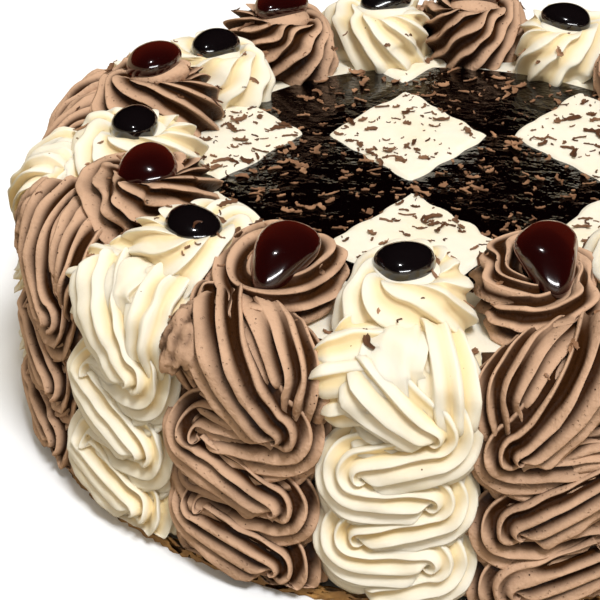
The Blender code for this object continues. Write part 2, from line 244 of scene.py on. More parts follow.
class StageSettings(bpy.types.PropertyGroup):
    """Camera, floor and lights."""

    lens: FloatProperty(
        name="Lens", description="Focal length in millimetres", default=121.98)
    overhead: FloatProperty(
        name="Overhead Light", description="Strength of the broad light above",
        default=2.9)
    front: FloatProperty(
        name="Front Light", description="Power of the strip light in front",
        default=8.0, unit="POWER")
    surroundings: FloatProperty(
        name="Surroundings", description="Strength of the light from all sides",
        default=0.60)
    key: FloatProperty(
        name="Key Light", description="Power of the small light high in front",
        default=3.0, unit="POWER")


def slot_angle(slot):
    """Where a portion stands."""
    return FRONT_ANGLE - slot * SECTOR


def is_white(slot):
    """White and chocolate cream take turns."""
    return slot % 2 == 0


def show(name, mesh, material, replaced=()):
    """Put a finished mesh in the scene as a piece of the cake."""
    mesh.materials.clear()
    mesh.materials.append(material)
    piece = bpy.data.objects.new(name, mesh)
    bpy.context.scene.collection.objects.link(piece)
    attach(piece, "root")
    if replaced:
        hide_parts(*replaced)
    return piece


def placed(radius, angle, height):
    """Places on the cake from radius, angle and height, as numbers or as arrays."""
    return np.stack([radius * np.cos(angle), radius * np.sin(angle), height], axis=-1)


def extruded(bm, faces):
    """Extrude faces; gives the new points."""
    made = bmesh.ops.extrude_face_region(bm, geom=faces)["geom"]
    return [part for part in made if isinstance(part, bmesh.types.BMVert)]


def finished_mesh(bm, name):
    """A smooth mesh from a bmesh, with its faces outwards."""
    bmesh.ops.recalc_face_normals(bm, faces=bm.faces[:])
    mesh = bpy.data.meshes.new(name)
    bm.to_mesh(mesh)
    bm.free()
    mesh.shade_smooth()
    return mesh


def show_cream(kind, slot, bm):
    """Show a portion's column or rosette."""
    name = f"piped_{kind}_{slot + 1:02d}"
    show(name, finished_mesh(bm, name), cream_for(slot),
         [f"{kind}_{slot + 1:02d}"])


def unevenness(points, size, seed, waves=9):
    """A smooth random value at each point, about -1 to 1, with bumps of a given size."""
    chance = np.random.default_rng(seed)
    total = np.zeros(points.shape[:-1])
    for _ in range(waves):
        direction = chance.normal(size=3)
        direction *= math.tau / size * chance.uniform(0.7, 1.5) / np.linalg.norm(direction)
        total += np.sin(points @ direction + chance.uniform(0, math.tau))
    return total / math.sqrt(waves)


def shell_place(along):
    """Radius, height and outward direction of the surface that a strand's middle follows."""
    turn = np.clip((along - WALL_HEIGHT) / SHOULDER_LENGTH, 0, 1) * math.pi / 2
    past = np.maximum(along - WALL_HEIGHT - SHOULDER_LENGTH, 0)
    radius = WALL_RADIUS - SHOULDER_REACH * (1 - np.cos(turn)) - past
    height = np.minimum(along, WALL_HEIGHT) + SHOULDER_RISE * np.sin(turn)
    return radius, height, np.cos(turn), np.sin(turn)


def smooth_path(turns, bend):
    """A path through a strand's turns, with an arc of the given radius at each, in metres."""
    points = [np.array(turns[0], float)]
    for before, here in zip(turns, turns[1:-1]):
        side = math.copysign(1.0, here[0] - before[0])
        middle = np.array((here[0] - side * bend, here[1]))
        for step in range(9):
            turn = math.pi / 2 - math.pi * step / 8
            points.append(middle + bend * np.array((side * math.cos(turn), math.sin(turn))))
    points.append(np.array(turns[-1], float))
    points = np.array(points) / 1000
    lengths = np.r_[0, np.cumsum(np.linalg.norm(np.diff(points, axis=0), axis=1))]
    even = np.arange(0, lengths[-1], 0.0003)
    fine = np.stack([np.interp(even, lengths, points[:, k]) for k in (0, 1)], axis=1)
    softness = 5 if bend else 11
    reach = np.arange(-3 * softness, 3 * softness + 1)
    weights = np.exp(-0.5 * (reach / softness) ** 2)
    weights /= weights.sum()
    padded = np.pad(fine, ((3 * softness, 3 * softness), (0, 0)), mode="edge")
    return np.stack([np.convolve(padded[:, k], weights, mode="valid") for k in (0, 1)],
                    axis=1)


def respaced(path, outer, step):
    """The path with places closer together where it turns, so that its outer edge is even."""
    heading = np.unwrap(np.arctan2(*np.gradient(path, axis=0).T[::-1]))
    pace = np.linalg.norm(np.diff(path, axis=0), axis=1) + outer * np.abs(np.diff(heading))
    distance = np.r_[0, np.cumsum(pace)]
    even = np.linspace(0, distance[-1], int(distance[-1] / step))
    return np.stack([np.interp(even, distance, path[:, k]) for k in (0, 1)], axis=1)


def ring_angles(ridges, parts=RING_PARTS):
    """Angles round a strand, with one on every crest and more on its outer side."""
    found = []
    for ridge in range(ridges):
        outer = math.sin(math.tau * (ridge + 0.5) / ridges) > -0.3
        found += [math.tau * (ridge + part) / ridges for part in (parts if outer else (0, 0.5))]
    return np.array(found)


def ridge_profile(angles, ridges, lean):
    """Depth and shade round a strand, both 0 on a ridge's crest and 1 in the groove.

    A lean from -1 to 1 puts the groove by one side. Then all under the crest is shaded.
    """
    share = (angles * ridges / math.tau) % 1.0
    lean = lean + 0 * share
    part = np.where(lean > 0, share, (1.0 - share) % 1.0)
    lean = np.abs(lean)
    groove = 0.5 + 0.3 * lean
    rise = np.minimum(part / groove, 1)
    fall = np.clip((1 - part) / (1 - groove), 0, 1) * math.pi / 2
    risen = (1 - lean) * (1 - np.cos(rise * math.pi / 2)) + lean * rise ** 1.25
    fallen = (1 - lean) * (1 - np.cos(fall))
    depth = np.where(rise < 1, risen, fallen + lean * np.sin(fall) ** 0.8)
    shade = np.where(rise < 1, risen, fallen + lean * np.clip((1 - part) / 0.045, 0, 1))
    return depth, shade


def uneven_strand(along, radius, angles, size, seed):
    """A smooth random value on each point of a strand."""
    return unevenness(np.stack(np.broadcast_arrays(
        along[:, None], radius * np.cos(angles)[None, :], radius * np.sin(angles)[None, :]),
        axis=-1), size, seed)


def swept(places, painted_shade):
    """A closed tube from rings of places, with a painted-shade value kept on each point."""
    rings, around = painted_shade.shape
    bm = bmesh.new()
    bmesh.ops.create_grid(bm, x_segments=around, y_segments=rings - 1, size=1.0)
    mesh = bpy.data.meshes.new("strand")
    bm.to_mesh(mesh)
    flat = np.empty(len(mesh.vertices) * 3)
    mesh.vertices.foreach_get("co", flat)
    flat = flat.reshape(-1, 3)
    column = np.rint((flat[:, 0] + 1) / 2 * around).astype(int) % around
    row = np.rint((flat[:, 1] + 1) / 2 * (rings - 1)).astype(int)
    mesh.vertices.foreach_set("co", places[row, column].ravel())
    # How much painted shade each point's colour gets, kept for the cream's material
    kept = mesh.attributes.new("painted_shade", "FLOAT", "POINT")
    kept.data.foreach_set("value", painted_shade[row, column].astype(np.float32))
    bm.clear()
    bm.from_mesh(mesh)
    bpy.data.meshes.remove(mesh)
    bmesh.ops.remove_doubles(bm, verts=bm.verts[:], dist=1e-7)
    bmesh.ops.holes_fill(bm, edges=[e for e in bm.edges if e.is_boundary], sides=0)
    return bm


def piped_strand(slot, turns, sizes, bend=0.0, width=1.0, thickness=1.0, ridges=None,
                 raised=0.0, returns=0.0, widened=0.0, tip=0.006, palm=None, coarse=False):
    """A piped strand on the side of the cake: rings of places and the painted shade on them.

    Sunk passes go back by `returns`; a palm is a place where the ridges are smoothed away.
    """
    ridges = ridges or sizes.ridges
    path = respaced(smooth_path(turns, bend), 0.009 * width, 0.0024 if coarse else 0.0013)
    step = np.gradient(path, axis=0)
    length = np.linalg.norm(step, axis=1)
    tangent = step / length[:, None]
    heading = np.unwrap(np.arctan2(tangent[:, 1], tangent[:, 0]))
    done = np.cumsum(length)
    even = np.arange(0, done[-1], 0.0005)
    window = np.exp(-0.5 * (np.arange(-20, 21) / 7.0) ** 2)
    turning = np.interp(even, done, np.gradient(heading) / length)
    turning = np.convolve(turning, window / window.sum(), mode="same")
    curvature = np.interp(done, even, turning)
    level = tangent[:, 0]
    first = math.copysign(1.0, turns[1][0] - turns[0][0])

    angles = ring_angles(ridges, COARSE_PARTS if coarse else RING_PARTS)
    valley, shade = ridge_profile(angles[None, :], ridges, -level[:, None])
    rough = uneven_strand(done, 0.012, angles, 0.022, 300 + slot)
    depth = sizes.ridge_depth * (1 + 0.28 * rough)
    if palm:
        spread = ((path[:, 0] * 1000 - palm[0]) / 9.0) ** 2
        spread = spread + ((path[:, 1] * 1000 - palm[1]) / 12.0) ** 2
        middle = np.exp(-spread)[:, None] * np.exp(-(np.cos(angles) / 0.7) ** 4)[None, :]
        depth = depth * (1 - 0.9 * middle)
    ends = np.clip(np.minimum(done, done[-1] - done) / tip, 0, 1) ** 0.5
    fat = (0.12 + 0.88 * ends) * (1 + widened * np.exp(-done / 0.035)) * (
        1 + 0.07 * unevenness(np.stack([done, 0 * done, 0 * done], axis=-1), 0.05, 500 + slot))
    wide = sizes.strand_width * width * fat
    deep = sizes.strand_depth * thickness * fat
    limit = 0.85 / np.maximum(np.abs(curvature), 1e-6)[:, None]
    inwards = wide[:, None] * np.cos(angles) * np.sign(curvature)[:, None] / limit
    crowded = np.clip(inwards - 0.6, 0, 1.2)
    depth = depth * (1 - 0.6 * crowded)
    share = 1 - depth * valley
    lateral = wide[:, None] * share * np.cos(angles)
    outward = deep[:, None] * share * np.sin(angles)
    squeezed = lateral / (1 + (np.abs(lateral) / limit) ** 3) ** (1 / 3)
    lateral = np.where(inwards > 0, squeezed, lateral)
    tilt = -sizes.strand_tilt * level[:, None]
    lateral, outward = (lateral * np.cos(tilt) - outward * np.sin(tilt),
                        lateral * np.sin(tilt) + outward * np.cos(tilt))
    sunk = 0.0016 * crowded + (0.6 * sizes.strand_depth * thickness * (1 - ends)
                               + returns * np.clip(-level * first, 0, 1))[:, None]
    outward = outward + raised - sunk

    # Place the rings on the wall: sideways is round the cake, along is up the wall.
    side = path[:, 0][:, None] - tangent[:, 1][:, None] * lateral
    along = path[:, 1][:, None] + tangent[:, 0][:, None] * lateral
    angle = slot_angle(slot) + side / CAKE_RADIUS
    radius, height, out, up = shell_place(along)
    radius = radius + out * outward
    height = height + up * outward
    places = placed(radius, angle, height)
    bump = 0.00045 * unevenness(places, 0.011, 700 + slot)
    radius = np.minimum(radius + bump * out, CREAM_LIMIT)
    foot = FOOT_HEIGHT + 0.0007 * (1 + unevenness(places, 0.010, 900 + slot))
    height = np.maximum(height + bump * up, foot)
    # The painted shade fades where the grooves are shallow
    return (placed(radius, angle, height),
            shade * np.clip(depth / sizes.ridge_depth, 0, 1.3))


def column_strands(slot, sizes):
    """All strands of a column: its zigzag, a coarser one behind it, and those on top."""
    chance = random.Random(40 + slot)
    hand = -1 if slot in (17, 4, 6, 9, 13, 14) else 1
    loose = 0.0 if slot in (0, 1, 17) else 1.3

    def loosened(turns, flip):
        return [(flip * side + chance.uniform(-loose, loose),
                 along + chance.uniform(-loose, loose)) for side, along in turns]

    if slot == 0:
        turns, tops, bend, returns = FRONT_TURNS, WHITE_TOPS, 4.0, 0.0006
    elif is_white(slot):
        turns, tops, bend, returns = WHITE_TURNS, WHITE_TOPS, 3.0, 0.0034
    else:
        turns, tops, bend, returns = BROWN_TURNS, BROWN_TOPS, 3.0, 0.0036
    found = [piped_strand(slot, loosened(turns, hand), sizes, bend=bend, returns=returns,
                          widened=0.0 if slot == 0 else 0.18),
             piped_strand(slot, loosened(turns[1:], -hand), sizes, bend=bend,
                          raised=-0.0042, coarse=True)]
    for places, width, thickness, ridges, raised in tops:
        palm = (hand, 78.0) if ridges > 12 else None
        found.append(piped_strand(slot, loosened(places, hand), sizes, width=width,
                                  thickness=thickness, ridges=ridges, raised=raised,
                                  tip=0.006 if width < 0.45 else 0.016, palm=palm))
    return found


def cream_lump(slot, hand):
    """A torn, porous lump of cream at the top of a chocolate column, with painted shade in its
    hollows.
    """
    bm = bmesh.new()
    bmesh.ops.create_icosphere(bm, subdivisions=5, radius=1.0)
    points = np.array([point.co for point in bm.verts])
    rough = (0.16 * unevenness(points, 1.3, 2100 + slot)
             + 0.09 * unevenness(points, 0.42, 2200 + slot)
             + 0.04 * unevenness(points, 0.17, 2300 + slot))
    shade = bm.verts.layers.float.new("painted_shade")
    for point, bump in zip(bm.verts, rough):
        around, upward, outward = point.co * (1 + bump)
        along = 0.0715 + 0.0088 * upward
        radius, height, out, up = shell_place(np.array(along))
        reach = 0.0042 + 0.0046 * outward
        angle = slot_angle(slot) + (hand * -0.0180 + 0.0082 * around) / CAKE_RADIUS
        radius = min(radius + out * reach, CREAM_LIMIT - 0.0003)
        point.co = placed(radius, angle, height + up * reach)
        # Painted shade, deeper in the lump's hollows
        point[shade] = min(0.60, max(0.12, 0.26 - 1.6 * bump))
    return bm


def column_backing(slot):
    """The smooth cream behind a column's strand, with painted shade over all of it."""
    half = SECTOR / 2 - 0.0015
    bm = bmesh.new()
    bmesh.ops.create_grid(bm, x_segments=8, y_segments=24, size=1.0)
    shade = bm.verts.layers.float.new("painted_shade")
    for point in bm.verts:
        # Painted shade over the whole backing, which lies behind the strands
        point[shade] = 0.55
        along = 0.0040 + (point.co.y + 1) / 2 * (WALL_HEIGHT + SHOULDER_LENGTH - 0.0045)
        radius, height, out, up = shell_place(np.array(along))
        angle = slot_angle(slot) + point.co.x * half
        rough = 0.0012 * math.sin(31 * point.co.x + 9 * slot) * math.sin(17 * point.co.y)
        radius = radius - (0.0030 + rough) * out
        point.co = placed(radius, angle, height - 0.0035 * up)
    for point in extruded(bm, bm.faces[:]):
        angle = math.atan2(point.co.y, point.co.x)
        point.co = placed(0.1165, angle, min(point.co.z, TOP_HEIGHT + 0.001))
    return bm


def join_in(bm, other):
    """Add one bmesh to another."""
    scratch = bpy.data.meshes.new("scratch")
    other.to_mesh(scratch)
    other.free()
    bm.from_mesh(scratch)
    bpy.data.meshes.remove(scratch)


def superellipse(direction, inner_power, outer_power):
    """Unit outline that is squarer towards the rim: outwards and sideways."""
    cosine, sine = np.cos(direction), np.sin(direction)
    power = np.where(cosine > 0, 2 / outer_power, 2 / inner_power)
    return (np.sign(cosine) * np.abs(cosine) ** power,
            np.sign(sine) * np.abs(sine) ** power)


def star_rosette(slot, lift):
    """A star-shaped swirl that rises, turns and folds in at the cherry."""
    chance = random.Random(60 + slot)
    ridges, twist, depth = (10, 1.7, 0.24) if is_white(slot) else (11, 2.3, 0.29)
    depth = depth if slot else 0.22
    crumpled = 0.0016 if slot == CRUMPLED_ROSETTE else 0.0007
    rings = 64
    rise = np.linspace(0, 1, rings)
    steps = (0, 0.13, 0.32, 0.52, 0.68, 0.80, 0.90, 1.0)
    swell = np.interp(rise, steps, (0.98, 1.04, 1.02, 0.92, 0.78, 0.64, 0.50, 0.2))
    height = np.interp(rise, steps, (-0.5, 3.5, 9.0, 13.8, 16.6, 17.6, 16.6, 12.0)) / 1000
    soften = np.ones(7) / 7
    swell = np.convolve(np.pad(swell, 3, mode="edge"), soften, mode="valid")[:, None]
    height = np.convolve(np.pad(height, 3, mode="edge"), soften, mode="valid")[:, None]
    rise = rise[:, None]
    fixed = (math.tau / ridges * np.add.outer(np.arange(ridges), RING_PARTS)).reshape(1, -1)
    hand = chance.choice((-1, 1)) if slot else 1
    direction = fixed - hand * twist * rise ** 1.2 - chance.uniform(0, 1)
    valley, shade = ridge_profile(fixed, ridges, 0.45 * hand)
    share = swell * (1 - depth * valley)
    out, side = superellipse(direction, 2.3, 3.0)
    out = ROSETTE_HALF_LENGTH * share * out
    side = ROSETTE_HALF_WIDTH * share * side * (1 + out / ROSETTE_RADIUS)
    height = TOP_HEIGHT + height * (1 + lift / 0.016) - 0.0016 * valley * np.clip(rise, 0, 1)
    places = np.stack([ROSETTE_RADIUS + out, side, height + 0 * side], axis=-1)
    bump = crumpled * unevenness(places, 0.012, 1100 + slot)
    places += bump[..., None] * np.array((1, 1, 0.6))
    return places, shade + 0 * side


def rope_rosette(slot, lift):
    """A ridged rope of cream, wound round and up."""
    turn = np.linspace(0, 1.7 * math.tau, 230)
    wound = turn / turn[-1]
    hand = -1 if slot == 1 else 1
    direction = hand * turn + random.Random(60 + slot).uniform(0, math.tau)
    radial = 0.0135 * ROPE_REACH * (1 - 0.50 * wound ** 1.5)
    across = 0.0108 * (1 - 0.48 * wound ** 1.5)
    middle = np.stack([ROSETTE_RADIUS + radial * np.cos(direction),
                       across * np.sin(direction),
                       TOP_HEIGHT + 0.0062 + (0.0026 + lift) * wound
                       - 0.0030 * np.cos(direction)
                       - 0.0040 * np.clip((wound - 0.86) / 0.14, 0, 1)], axis=-1)
    tangent = np.gradient(middle, axis=0)
    tangent /= np.linalg.norm(tangent, axis=1)[:, None]
    outwards = np.cross(tangent, (0, 0, 1.0)) * hand
    outwards /= np.linalg.norm(outwards, axis=1)[:, None]
    upwards = np.cross(outwards, tangent) * hand
    ridges = 11
    angles = ring_angles(ridges)
    valley, shade = ridge_profile(angles[None, :], ridges, 0.55)
    rough = uneven_strand(turn * 0.01, 0.01, angles, 0.02, 1300 + slot)
    share = 1 - 0.42 * (1 + 0.4 * rough) * valley
    ends = np.clip(np.minimum(turn, turn[-1] - turn) / 0.7, 0, 1) ** 0.5
    fat = 0.35 + 0.65 * ends
    radial_size = 0.0116 * ROPE_REACH * fat * (1 - 0.36 * wound)
    tall_size = 0.0100 * fat * (1 - 0.34 * wound)
    spun = angles[None, :] - 0.5 + 3.2 * wound[:, None]
    places = (middle[:, None, :]
              + outwards[:, None, :] * (radial_size[:, None] * share * np.cos(spun))[..., None]
              + upwards[:, None, :] * (tall_size[:, None] * share * np.sin(spun))[..., None])
    places += 0.0013 * unevenness(places, 0.014, 1100 + slot)[..., None] * np.array((1, 1, 0.8))
    places[..., 2] = np.maximum(places[..., 2], TOP_HEIGHT - 0.0004)
    return places, shade + 0 * share


def turned_to(slot, places):
    """Places given outwards, sideways and up, turned to their portion."""
    angle = slot_angle(slot)
    out, side = places[..., 0], places[..., 1]
    return np.stack([out * math.cos(angle) - side * math.sin(angle),
                     out * math.sin(angle) + side * math.cos(angle),
                     places[..., 2]], axis=-1)


def cherry_frame(slot):
    """Place, tilt and half sizes of a portion's cherry."""
    chance = random.Random(200 + slot)
    scatter = [chance.uniform(-CHERRY_SCATTER, CHERRY_SCATTER) for _ in range(3)]
    out, sideways, up = SHIFTED_CHERRIES.get(slot, scatter)
    half_sizes = BLACK_CHERRY if is_white(slot) else RED_CHERRY
    tilt = BLACK_CHERRY_TILT if is_white(slot) else RED_CHERRY_TILT
    middle = Vector((CHERRY_RADIUS + out, sideways, CHERRY_HEIGHT + up))
    place = (Matrix.Rotation(slot_angle(slot), 4, "Z") @ Matrix.Translation(middle)
             @ Matrix.Rotation(tilt, 4, "Y"))
    return place, half_sizes


def cherry_collar(slot):
    """Cream that wraps the lower half of a cherry."""
    place, half = cherry_frame(slot)
    bm = bmesh.new()
    bmesh.ops.create_uvsphere(bm, u_segments=56, v_segments=28, radius=1.0)
    points = np.array([point.co for point in bm.verts])
    grow = 1 + 0.07 * unevenness(points, 1.6, 1700 + slot)
    low = 0.66 if is_white(slot) else 0.85
    for point, share in zip(bm.verts, grow):
        point.co = Vector((1.20 * half.y * point.co.x * share,
                           1.18 * half.x * point.co.y * share,
                           half.z * (0.80 * point.co.z * share - low)))
    bmesh.ops.transform(bm, matrix=place, verts=bm.verts[:])
    return bm


def diamond_place(column, row):
    """The middle of a white diamond on the top."""
    shift = Vector((column * DIAMOND_WIDTH, row * DIAMOND_DEPTH, 0.0))
    return DIAMOND_MIDDLE + Matrix.Rotation(DIAMOND_TURN, 3, "Z") @ shift


def inside_white(place):
    """How far a place is inside the nearest white diamond: 0 in the middle, 1 at its edge."""
    turned = Matrix.Rotation(-DIAMOND_TURN, 3, "Z") @ (place - DIAMOND_MIDDLE)
    column = round(turned.x / DIAMOND_WIDTH)
    row = round(turned.y / DIAMOND_DEPTH)
    across = abs(turned.x - column * DIAMOND_WIDTH) / (DIAMOND_WIDTH * WHITE_WIDTH_SHARE / 2)
    deep = abs(turned.y - row * DIAMOND_DEPTH) / (DIAMOND_DEPTH * WHITE_DEPTH_SHARE / 2)
    return (across ** 1.04 + deep ** 1.04) ** (1 / 1.04)


def add_node(tree, kind, **settings):
    """A new node with its settings; a setting that names a socket gives its value."""
    node = tree.nodes.new(kind)
    for key, value in settings.items():
        if key.startswith("in_"):
            node.inputs[key[3:].replace("_", " ").title()].default_value = value
        else:
            setattr(node, key, value)
    return node


def add_value(tree, socket, value):
    """Give a socket a plain value or a link."""
    if isinstance(value, bpy.types.NodeSocket):
        tree.links.new(value, socket)
    else:
        socket.default_value = value


def add_math(tree, operation, first, second):
    """Arithmetic on two values; each is a socket or a number."""
    node = add_node(tree, "ShaderNodeMath", operation=operation)
    add_value(tree, node.inputs[0], first)
    add_value(tree, node.inputs[1], second)
    return node.outputs[0]


def add_range(tree, value, **settings):
    """Bring a value to another range."""
    node = add_node(tree, "ShaderNodeMapRange", **settings)
    tree.links.new(value, node.inputs["Value"])
    return node


def spots_group():
    """Shared effect: sparse small spots, 1 inside a spot and 0 outside."""
    group = bpy.data.node_groups.get("Spots")
    if group:
        return group
    group = bpy.data.node_groups.new("Spots", "ShaderNodeTree")
    for name, default in (("Scale", 300.0), ("Size", 0.12), ("Share", 0.3)):
        socket = group.interface.new_socket(name, in_out="INPUT",
                                            socket_type="NodeSocketFloat")
        socket.default_value = default
    group.interface.new_socket("Spot", in_out="OUTPUT", socket_type="NodeSocketFloat")
    start = group.nodes.new("NodeGroupInput")
    end = group.nodes.new("NodeGroupOutput")
    where = group.nodes.new("ShaderNodeTexCoord")
    cells = group.nodes.new("ShaderNodeTexVoronoi")
    parts = group.nodes.new("ShaderNodeSeparateColor")
    link = group.links.new
    link(where.outputs["Object"], cells.inputs["Vector"])
    link(start.outputs["Scale"], cells.inputs["Scale"])
    link(cells.outputs["Color"], parts.inputs["Color"])
    chosen = add_math(group, "LESS_THAN", parts.outputs["Red"], start.outputs["Share"])
    near = add_range(group, cells.outputs["Distance"], interpolation_type="SMOOTHSTEP",
                     in_to_min=1.0, in_to_max=0.0)
    link(add_math(group, "MULTIPLY", start.outputs["Size"], 0.55), near.inputs["From Min"])
    link(start.outputs["Size"], near.inputs["From Max"])
    link(add_math(group, "MULTIPLY", near.outputs["Result"], chosen), end.inputs["Spot"])
    return group


def new_material(name, colour, roughness, others=None):
    """A material with its shader's plain values set."""
    material = bpy.data.materials.new(name)
    material.use_nodes = True
    shader = material.node_tree.nodes["Principled BSDF"]
    values = {"Base Color": (*colour, 1.0), "Roughness": roughness, **(others or {})}
    for socket, value in values.items():
        shader.inputs[socket].default_value = value
    return material, material.node_tree, shader


def add_noise(tree, scale, detail=2.0):
    """Cloudy noise that stays on the object."""
    where = add_node(tree, "ShaderNodeTexCoord")
    noise = add_node(tree, "ShaderNodeTexNoise", in_scale=scale, in_detail=detail)
    tree.links.new(where.outputs["Object"], noise.inputs["Vector"])
    return noise.outputs["Fac"]


def add_relief(tree, shader, height, distance, strength=1.0):
    """Small relief on a shader."""
    relief = add_node(tree, "ShaderNodeBump", in_strength=strength, in_distance=distance)
    tree.links.new(height, relief.inputs["Height"])
    tree.links.new(relief.outputs["Normal"], shader.inputs["Normal"])


def add_mix(tree, factor, first, second):
    """Mix two colours by a factor; each is a socket or a plain colour."""
    mix = add_node(tree, "ShaderNodeMix", data_type="RGBA")
    tree.links.new(factor, mix.inputs["Factor"])
    for side, value in (("A", first), ("B", second)):
        socket = next(s for s in mix.inputs if s.name == side and s.type == "RGBA")
        plain = not isinstance(value, bpy.types.NodeSocket)
        add_value(tree, socket, (*value, 1.0) if plain else value)
    return next(s for s in mix.outputs if s.type == "RGBA")


def add_spots(tree, scale, size, share):
    """A node of the shared spots."""
    spots = add_node(tree, "ShaderNodeGroup", node_tree=spots_group(), in_scale=scale,
                     in_size=size, in_share=share)
    return spots.outputs["Spot"]


def cream_material(name, light, painted_shade, spread, speck, speck_share, pore_share, bump,
                   soft, shine):
    """Whipped cream with painted shade in its grooves and under its ridges, with specks and
    pores.
    """
    material, tree, shader = new_material(name, light, 0.52, {
        "Specular IOR Level": shine, "Subsurface Weight": soft,
        "Subsurface Radius": (1.0, 0.92, 0.80), "Subsurface Scale": 0.0022})
    # Painted shade: the kept value mixes the cream's colour towards its shade colour
    groove = add_node(tree, "ShaderNodeAttribute", attribute_name="painted_shade")
    deep = add_range(tree, groove.outputs["Fac"], interpolation_type="SMOOTHERSTEP",
                     in_from_min=0.04, in_from_max=spread).outputs["Result"]
    cloud = add_range(tree, add_noise(tree, 55.0, 3.0), in_from_min=0.45, in_from_max=0.80,
                      in_to_max=0.35).outputs["Result"]
    colour = add_mix(tree, cloud, add_mix(tree, deep, light, painted_shade), painted_shade)
    colour = add_mix(tree, add_spots(tree, 300.0, 0.10, speck_share), colour, speck)
    tree.links.new(colour, shader.inputs["Base Color"])
    pores = add_spots(tree, 620.0, 0.22, pore_share)
    height = add_math(tree, "SUBTRACT", add_noise(tree, 700.0, 4.0), pores)
    add_relief(tree, shader, height, bump, 0.8)
    return material


def cream_for(slot):
    """The white or the chocolate cream, made once."""
    colours = bpy.context.scene.cake_colours
    name = "White Cream" if is_white(slot) else "Chocolate Cream"
    if name in bpy.data.materials:
        return bpy.data.materials[name]
    if is_white(slot):
        return cream_material(name, colours.white_cream, colours.white_painted_shade, 0.95,
                              WHITE_SPECK, 0.05, 0.0, 0.00006, 0.35, 0.45)
    return cream_material(name, colours.brown_cream, colours.brown_painted_shade, 0.70,
                          BROWN_SPECK, 0.60, 0.55, 0.00065, 0.04, 0.10)


def fruit_material(name, colour, edge=None):
    """Fruit under a clear glaze; a painted glow, lighter towards the rim as seen, stands for
    light shining through.
    """
    material, tree, shader = new_material(name, colour, 0.16, {
        "Coat Weight": 1.0, "Coat Roughness": 0.03})
    if edge:
        # Painted glow: lighter red where the surface turns away from the view
        facing = add_node(tree, "ShaderNodeLayerWeight")
        facing.inputs["Blend"].default_value = 0.45
        curve = add_math(tree, "POWER", facing.outputs["Facing"], 2.6)
        mixed = add_mix(tree, curve, colour, edge)
        tree.links.new(mixed, shader.inputs["Base Color"])
    return material


class CAKE_OT_sponge(bpy.types.Operator):
    """Crumbly golden sponge at the foot"""

    bl_idname = "cake.sponge"
    bl_label = "Sponge Base"

    def execute(self, context):
        colours = context.scene.cake_colours
        bm = bmesh.new()
        bmesh.ops.create_grid(bm, x_segments=520, y_segments=6, size=1.0)
        chance = random.Random(3)
        for point in bm.verts:
            angle = point.co.x * math.pi
            level = (point.co.y + 1) / 2
            radius = 0.1335 - 0.0016 * level + chance.uniform(-0.0006, 0.0008)
            height = 0.0036 * level
            if 0.05 < level < 0.95:
                height += chance.uniform(-0.0003, 0.0003)
            point.co = placed(radius, angle, height)
        bmesh.ops.remove_doubles(bm, verts=bm.verts[:], dist=0.0001)
        bmesh.ops.holes_fill(bm, edges=[e for e in bm.edges if e.is_boundary], sides=0)
        material, tree, shader = new_material("Sponge", colours.sponge, 0.9)
        crumbs = add_noise(tree, 420.0, 5.0)
        mixed = add_mix(tree, crumbs, DARK_CRUMB, colours.sponge)
        tree.links.new(mixed, shader.inputs["Base Color"])
        add_relief(tree, shader, crumbs, 0.0006)
        show("sponge_base", finished_mesh(bm, "sponge_base"), material,
             ["base_sponge"])
        return {"FINISHED"}


class CAKE_OT_top(bpy.types.Operator):
    """The uncut cake with its white cream top"""

    bl_idname = "cake.top"
    bl_label = "White Top"

    def execute(self, context):
        bm = bmesh.new()
        bmesh.ops.create_grid(bm, x_segments=230, y_segments=230, size=1.0)
        places = np.array([point.co for point in bm.verts])
        x, y = places[:, 0], places[:, 1]
        places = np.stack([x * np.sqrt(1 - y * y / 2), y * np.sqrt(1 - x * x / 2),
                           0 * x], axis=-1) * 0.1188
        rise = 0.00022 * unevenness(places, 0.030, 21) + 0.00006 * unevenness(places, 0.006, 22)
        waves = unevenness(places, 0.014, 23)
        for point, place, lift, wave in zip(bm.verts, places, rise, waves):
            edge = 1.06 + 0.028 * wave - inside_white(Vector(place))
            inside = min(1.0, max(0.0, edge / 0.13))
            if Vector(place).length < 0.089:
                lift += 0.0019 * inside * inside * (3 - 2 * inside)
            point.co = (place[0], place[1], TOP_HEIGHT + lift)
        for point in extruded(bm, bm.faces[:]):
            point.co.z = 0.0035
        show("white_top", finished_mesh(bm, "white_top"), cream_for(0),
             ["cake_core"])
        return {"FINISHED"}


def white_diamond_cutters(thickness):
    """Cutters that leave the white diamonds free of jelly."""
    bm = bmesh.new()
    below = TOP_HEIGHT - 0.002
    for column in (-1, 0, 1):
        for row in (-1, 0, 1):
            middle = diamond_place(column, row)
            plan = (Matrix.Translation(middle + Vector((0, 0, below)))
                    @ Matrix.Rotation(DIAMOND_TURN, 4, "Z")
                    @ Matrix.Diagonal((DIAMOND_WIDTH * WHITE_WIDTH_SHARE * JELLY_HOLE_SHARE,
                                       DIAMOND_DEPTH * WHITE_DEPTH_SHARE * JELLY_HOLE_SHARE,
                                       1.0, 1.0)))
            corners = bmesh.ops.create_circle(bm, cap_ends=True, radius=0.5, segments=4,
                                              matrix=plan)["verts"]
            bmesh.ops.bevel(bm, geom=corners, offset=DIAMOND_CORNER, segments=6,
                            profile=0.5, affect="VERTICES", material=-1)
            flat = [face for face in bm.faces if len(face.verts) > 4
                    and (face.calc_center_median() - middle).xy.length < DIAMOND_CORNER
                    and abs(face.normal.z) > 0.9]
            bmesh.ops.translate(bm, vec=(0, 0, thickness + 0.006), verts=extruded(bm, flat))
    return bm


